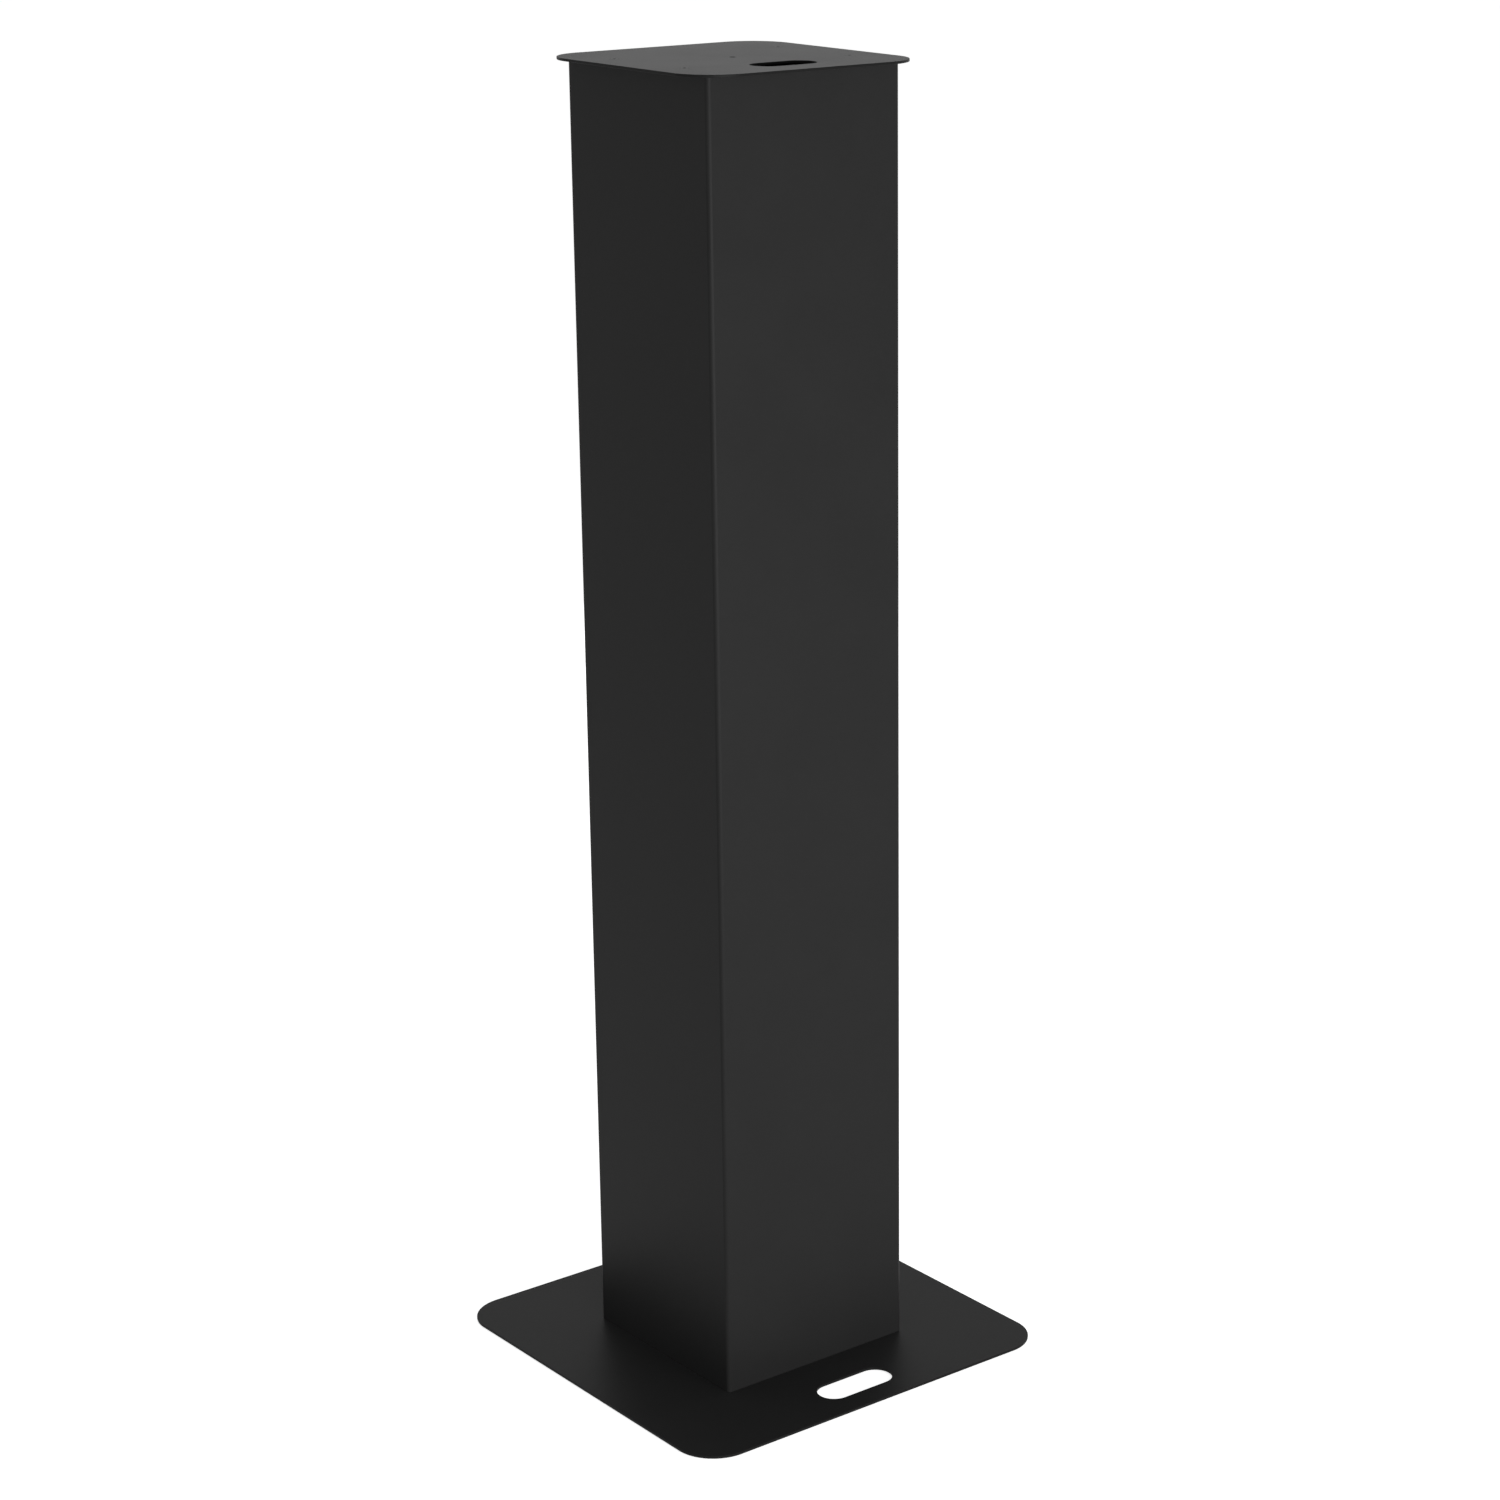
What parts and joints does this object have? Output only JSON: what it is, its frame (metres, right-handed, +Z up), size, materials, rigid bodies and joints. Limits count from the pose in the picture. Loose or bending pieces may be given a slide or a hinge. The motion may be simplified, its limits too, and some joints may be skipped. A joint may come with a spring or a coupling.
{
  "type": "speaker stand",
  "caption": "Tall square sheet-steel column between a wide base plate with a hand slot and a small top plate with a cable slot; the cable runs inside and leaves low at the back.",
  "frame": {"origin": "on the floor under the column's axis, at the middle of the base plate's outline", "axes": "+Z up along the column, -Y towards the front, where both slots lie, +X to the right seen from the front"},
  "size_m": [0.5, 0.5, 1.502],
  "materials": {
    "powder_coat": "near-black satin powder coat with a very fine texture",
    "black_fastener": "black-coated screw, satin",
    "rubber": "matt black rubber"
  },
  "bodies": {
    "root": {"base_bracket_left": "powder_coat", "base_bracket_right": "powder_coat", "base_nut_front_left": "powder_coat", "base_nut_front_right": "powder_coat", "base_nut_rear_left": "powder_coat", "base_nut_rear_right": "powder_coat", "base_plate": "powder_coat", "base_screw_front_left": "black_fastener", "base_screw_front_right": "black_fastener", "base_screw_rear_left": "black_fastener", "base_screw_rear_right": "black_fastener", "column_shell": "powder_coat", "foot_pad_inner_front_left": "rubber", "foot_pad_inner_front_right": "rubber", "foot_pad_inner_rear_left": "rubber", "foot_pad_inner_rear_right": "rubber", "foot_pad_outer_front_left": "rubber", "foot_pad_outer_front_right": "rubber", "foot_pad_outer_rear_left": "rubber", "foot_pad_outer_rear_right": "rubber", "panel_nut_left_1": "powder_coat", "panel_nut_left_2": "powder_coat", "panel_nut_left_3": "powder_coat", "panel_nut_left_4": "powder_coat", "panel_nut_left_5": "powder_coat", "panel_nut_right_1": "powder_coat", "panel_nut_right_2": "powder_coat", "panel_nut_right_3": "powder_coat", "panel_nut_right_4": "powder_coat", "panel_nut_right_5": "powder_coat", "panel_screw_left_1": "black_fastener", "panel_screw_left_2": "black_fastener", "panel_screw_left_3": "black_fastener", "panel_screw_left_4": "black_fastener", "panel_screw_left_5": "black_fastener", "panel_screw_right_1": "black_fastener", "panel_screw_right_2": "black_fastener", "panel_screw_right_3": "black_fastener", "panel_screw_right_4": "black_fastener", "panel_screw_right_5": "black_fastener", "rear_panel": "powder_coat", "speaker_nut": "powder_coat", "top_bracket_left": "powder_coat", "top_bracket_right": "powder_coat", "top_nut_front_left": "powder_coat", "top_nut_front_right": "powder_coat", "top_nut_rear_left": "powder_coat", "top_nut_rear_right": "powder_coat", "top_plate": "powder_coat", "top_screw_front_left": "black_fastener", "top_screw_front_right": "black_fastener", "top_screw_rear_left": "black_fastener", "top_screw_rear_right": "black_fastener"}
  },
  "joints": []
}
